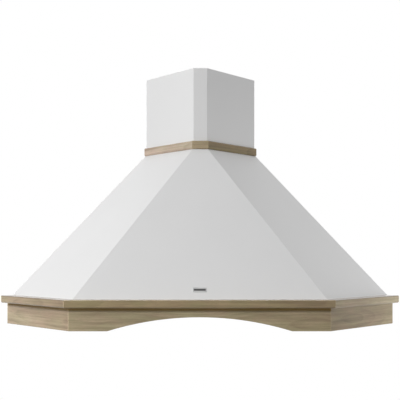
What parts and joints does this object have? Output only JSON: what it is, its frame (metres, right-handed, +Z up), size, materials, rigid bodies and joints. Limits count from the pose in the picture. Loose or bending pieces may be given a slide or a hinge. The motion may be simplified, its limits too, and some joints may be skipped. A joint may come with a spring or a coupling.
{
  "type": "corner range hood",
  "caption": "White corner range hood: sloped steel canopy and chimney cover for a right-angled wall corner, rounded oak trim, arched oak apron, grease filters, lamps, buttons and blower.",
  "frame": {"origin": "the vertical line where the two walls meet, at the level of the oak apron's lowest edge", "axes": "+Z up, -Y out of the corner into the room, +X to the right of someone who faces the hood; the walls run along (1,-1,0) and (-1,-1,0)"},
  "size_m": [1.4142, 0.9831, 0.983],
  "materials": {
    "white_steel": "smooth white stove enamel",
    "oak": "light greyish oak, satin oiled",
    "galvanised_steel": "bare zinc-coated sheet",
    "filter_aluminium": "bright expanded mesh in a folded frame",
    "white_plastic": "fine matt moulding",
    "black_plastic": "moulded, flame-retardant",
    "chromed_ring": "satin chrome",
    "lens_glass": "frosted",
    "die_cast": "as cast",
    "circuit_laminate": "solder resist",
    "cream_plastic": "moulded",
    "bright_steel": "zinc plated"
  },
  "bodies": {
    "hood": {"canopy_shell": "white_steel", "chimney_cover": "white_steel", "base_panel": "white_steel", "skirt_left": "oak", "skirt_front": "oak", "skirt_right": "oak", "crown_left": "oak", "crown_front": "oak", "crown_right": "oak", "collar_left": "oak", "collar_front": "oak", "collar_right": "oak", "wall_panel_left": "galvanised_steel", "wall_panel_right": "galvanised_steel", "corner_angle": "galvanised_steel", "top_plate": "galvanised_steel", "motor_spider": "galvanised_steel", "button_bezel": "white_plastic", "scroll_left": "black_plastic", "scroll_right": "black_plastic", "outlet_adapter": "black_plastic", "duct_collar": "black_plastic", "switch_housing": "black_plastic", "control_box_tray": "black_plastic", "control_box_cover": "black_plastic", "cable_gland": "black_plastic", "gland_nut": "black_plastic", "lamp_bezel_left": "chromed_ring", "lamp_bezel_right": "chromed_ring", "lamp_lens_left": "lens_glass", "lamp_lens_right": "lens_glass", "lamp_body_left": "die_cast", "lamp_body_right": "die_cast", "motor_body": "die_cast", "motor_capacitor": "die_cast", "switch_board": "circuit_laminate", "circuit_board": "circuit_laminate", "terminal_block": "cream_plastic", "flap_rod": "bright_steel", "trim_screws": "bright_steel", "base_panel_screws": "bright_steel", "top_plate_screws": "bright_steel", "blower_screws": "bright_steel"},
    "chimney_extension": {"chimney_extension": "white_steel", "extension_bracket": "galvanised_steel"},
    "filter_left": {"filter_frame_left": "filter_aluminium", "filter_mesh_left": "filter_aluminium"},
    "filter_right": {"filter_frame_right": "filter_aluminium", "filter_mesh_right": "filter_aluminium"},
    "latch_left": {"filter_latch_left": "white_plastic"},
    "latch_right": {"filter_latch_right": "white_plastic"},
    "impeller": {"impeller": "black_plastic", "motor_shaft": "bright_steel"},
    "flap_front": {"flap_front": "black_plastic"},
    "flap_rear": {"flap_rear": "black_plastic"},
    "button_off": {"button_off": "white_plastic"},
    "button_low": {"button_low": "white_plastic"},
    "button_medium": {"button_medium": "white_plastic"},
    "button_high": {"button_high": "white_plastic"},
    "button_light": {"button_light": "white_plastic"}
  },
  "joints": [
    {"name": "impeller_spin", "type": "hinge", "parent": "hood", "child": "impeller", "pos_m": [0, -0.30069, 0.4751], "axis": [1, 0, 0], "continuous": true},
    {"name": "flap_front_swing", "type": "hinge", "parent": "hood", "child": "flap_front", "pos_m": [0, -0.22769, 0.6803], "axis": [-1, 0, 0], "range_deg": [0, 75]},
    {"name": "flap_rear_swing", "type": "hinge", "parent": "hood", "child": "flap_rear", "pos_m": [0, -0.22769, 0.6803], "axis": [1, 0, 0], "range_deg": [0, 75]},
    {"name": "chimney_slide", "type": "slide", "parent": "hood", "child": "chimney_extension", "axis": [0, 0, 1], "range_m": [0, 0.25]},
    {"name": "filter_left_tilt", "type": "hinge", "parent": "hood", "child": "filter_left", "pos_m": [-0.157, -0.49813, 0.052], "axis": [1, 0, 0], "range_deg": [0, 70]},
    {"name": "latch_left_slide", "type": "slide", "parent": "filter_left", "child": "latch_left", "axis": [0, 1, 0], "range_m": [0, 0.006], "stiffness_N_per_m": 300, "springref_m": -0.005},
    {"name": "filter_right_tilt", "type": "hinge", "parent": "hood", "child": "filter_right", "pos_m": [0.157, -0.49813, 0.052], "axis": [1, 0, 0], "range_deg": [0, 70]},
    {"name": "latch_right_slide", "type": "slide", "parent": "filter_right", "child": "latch_right", "axis": [0, 1, 0], "range_m": [0, 0.006], "stiffness_N_per_m": 300, "springref_m": -0.005},
    {"name": "button_off_press", "type": "slide", "parent": "hood", "child": "button_off", "axis": [0, 0, 1], "range_m": [0, 0.0025], "stiffness_N_per_m": 400},
    {"name": "button_low_press", "type": "slide", "parent": "hood", "child": "button_low", "axis": [0, 0, 1], "range_m": [0, 0.0025], "stiffness_N_per_m": 400},
    {"name": "button_medium_press", "type": "slide", "parent": "hood", "child": "button_medium", "axis": [0, 0, 1], "range_m": [0, 0.0025], "stiffness_N_per_m": 400},
    {"name": "button_high_press", "type": "slide", "parent": "hood", "child": "button_high", "axis": [0, 0, 1], "range_m": [0, 0.0025], "stiffness_N_per_m": 400},
    {"name": "button_light_press", "type": "slide", "parent": "hood", "child": "button_light", "axis": [0, 0, 1], "range_m": [0, 0.0025], "stiffness_N_per_m": 400}
  ]
}
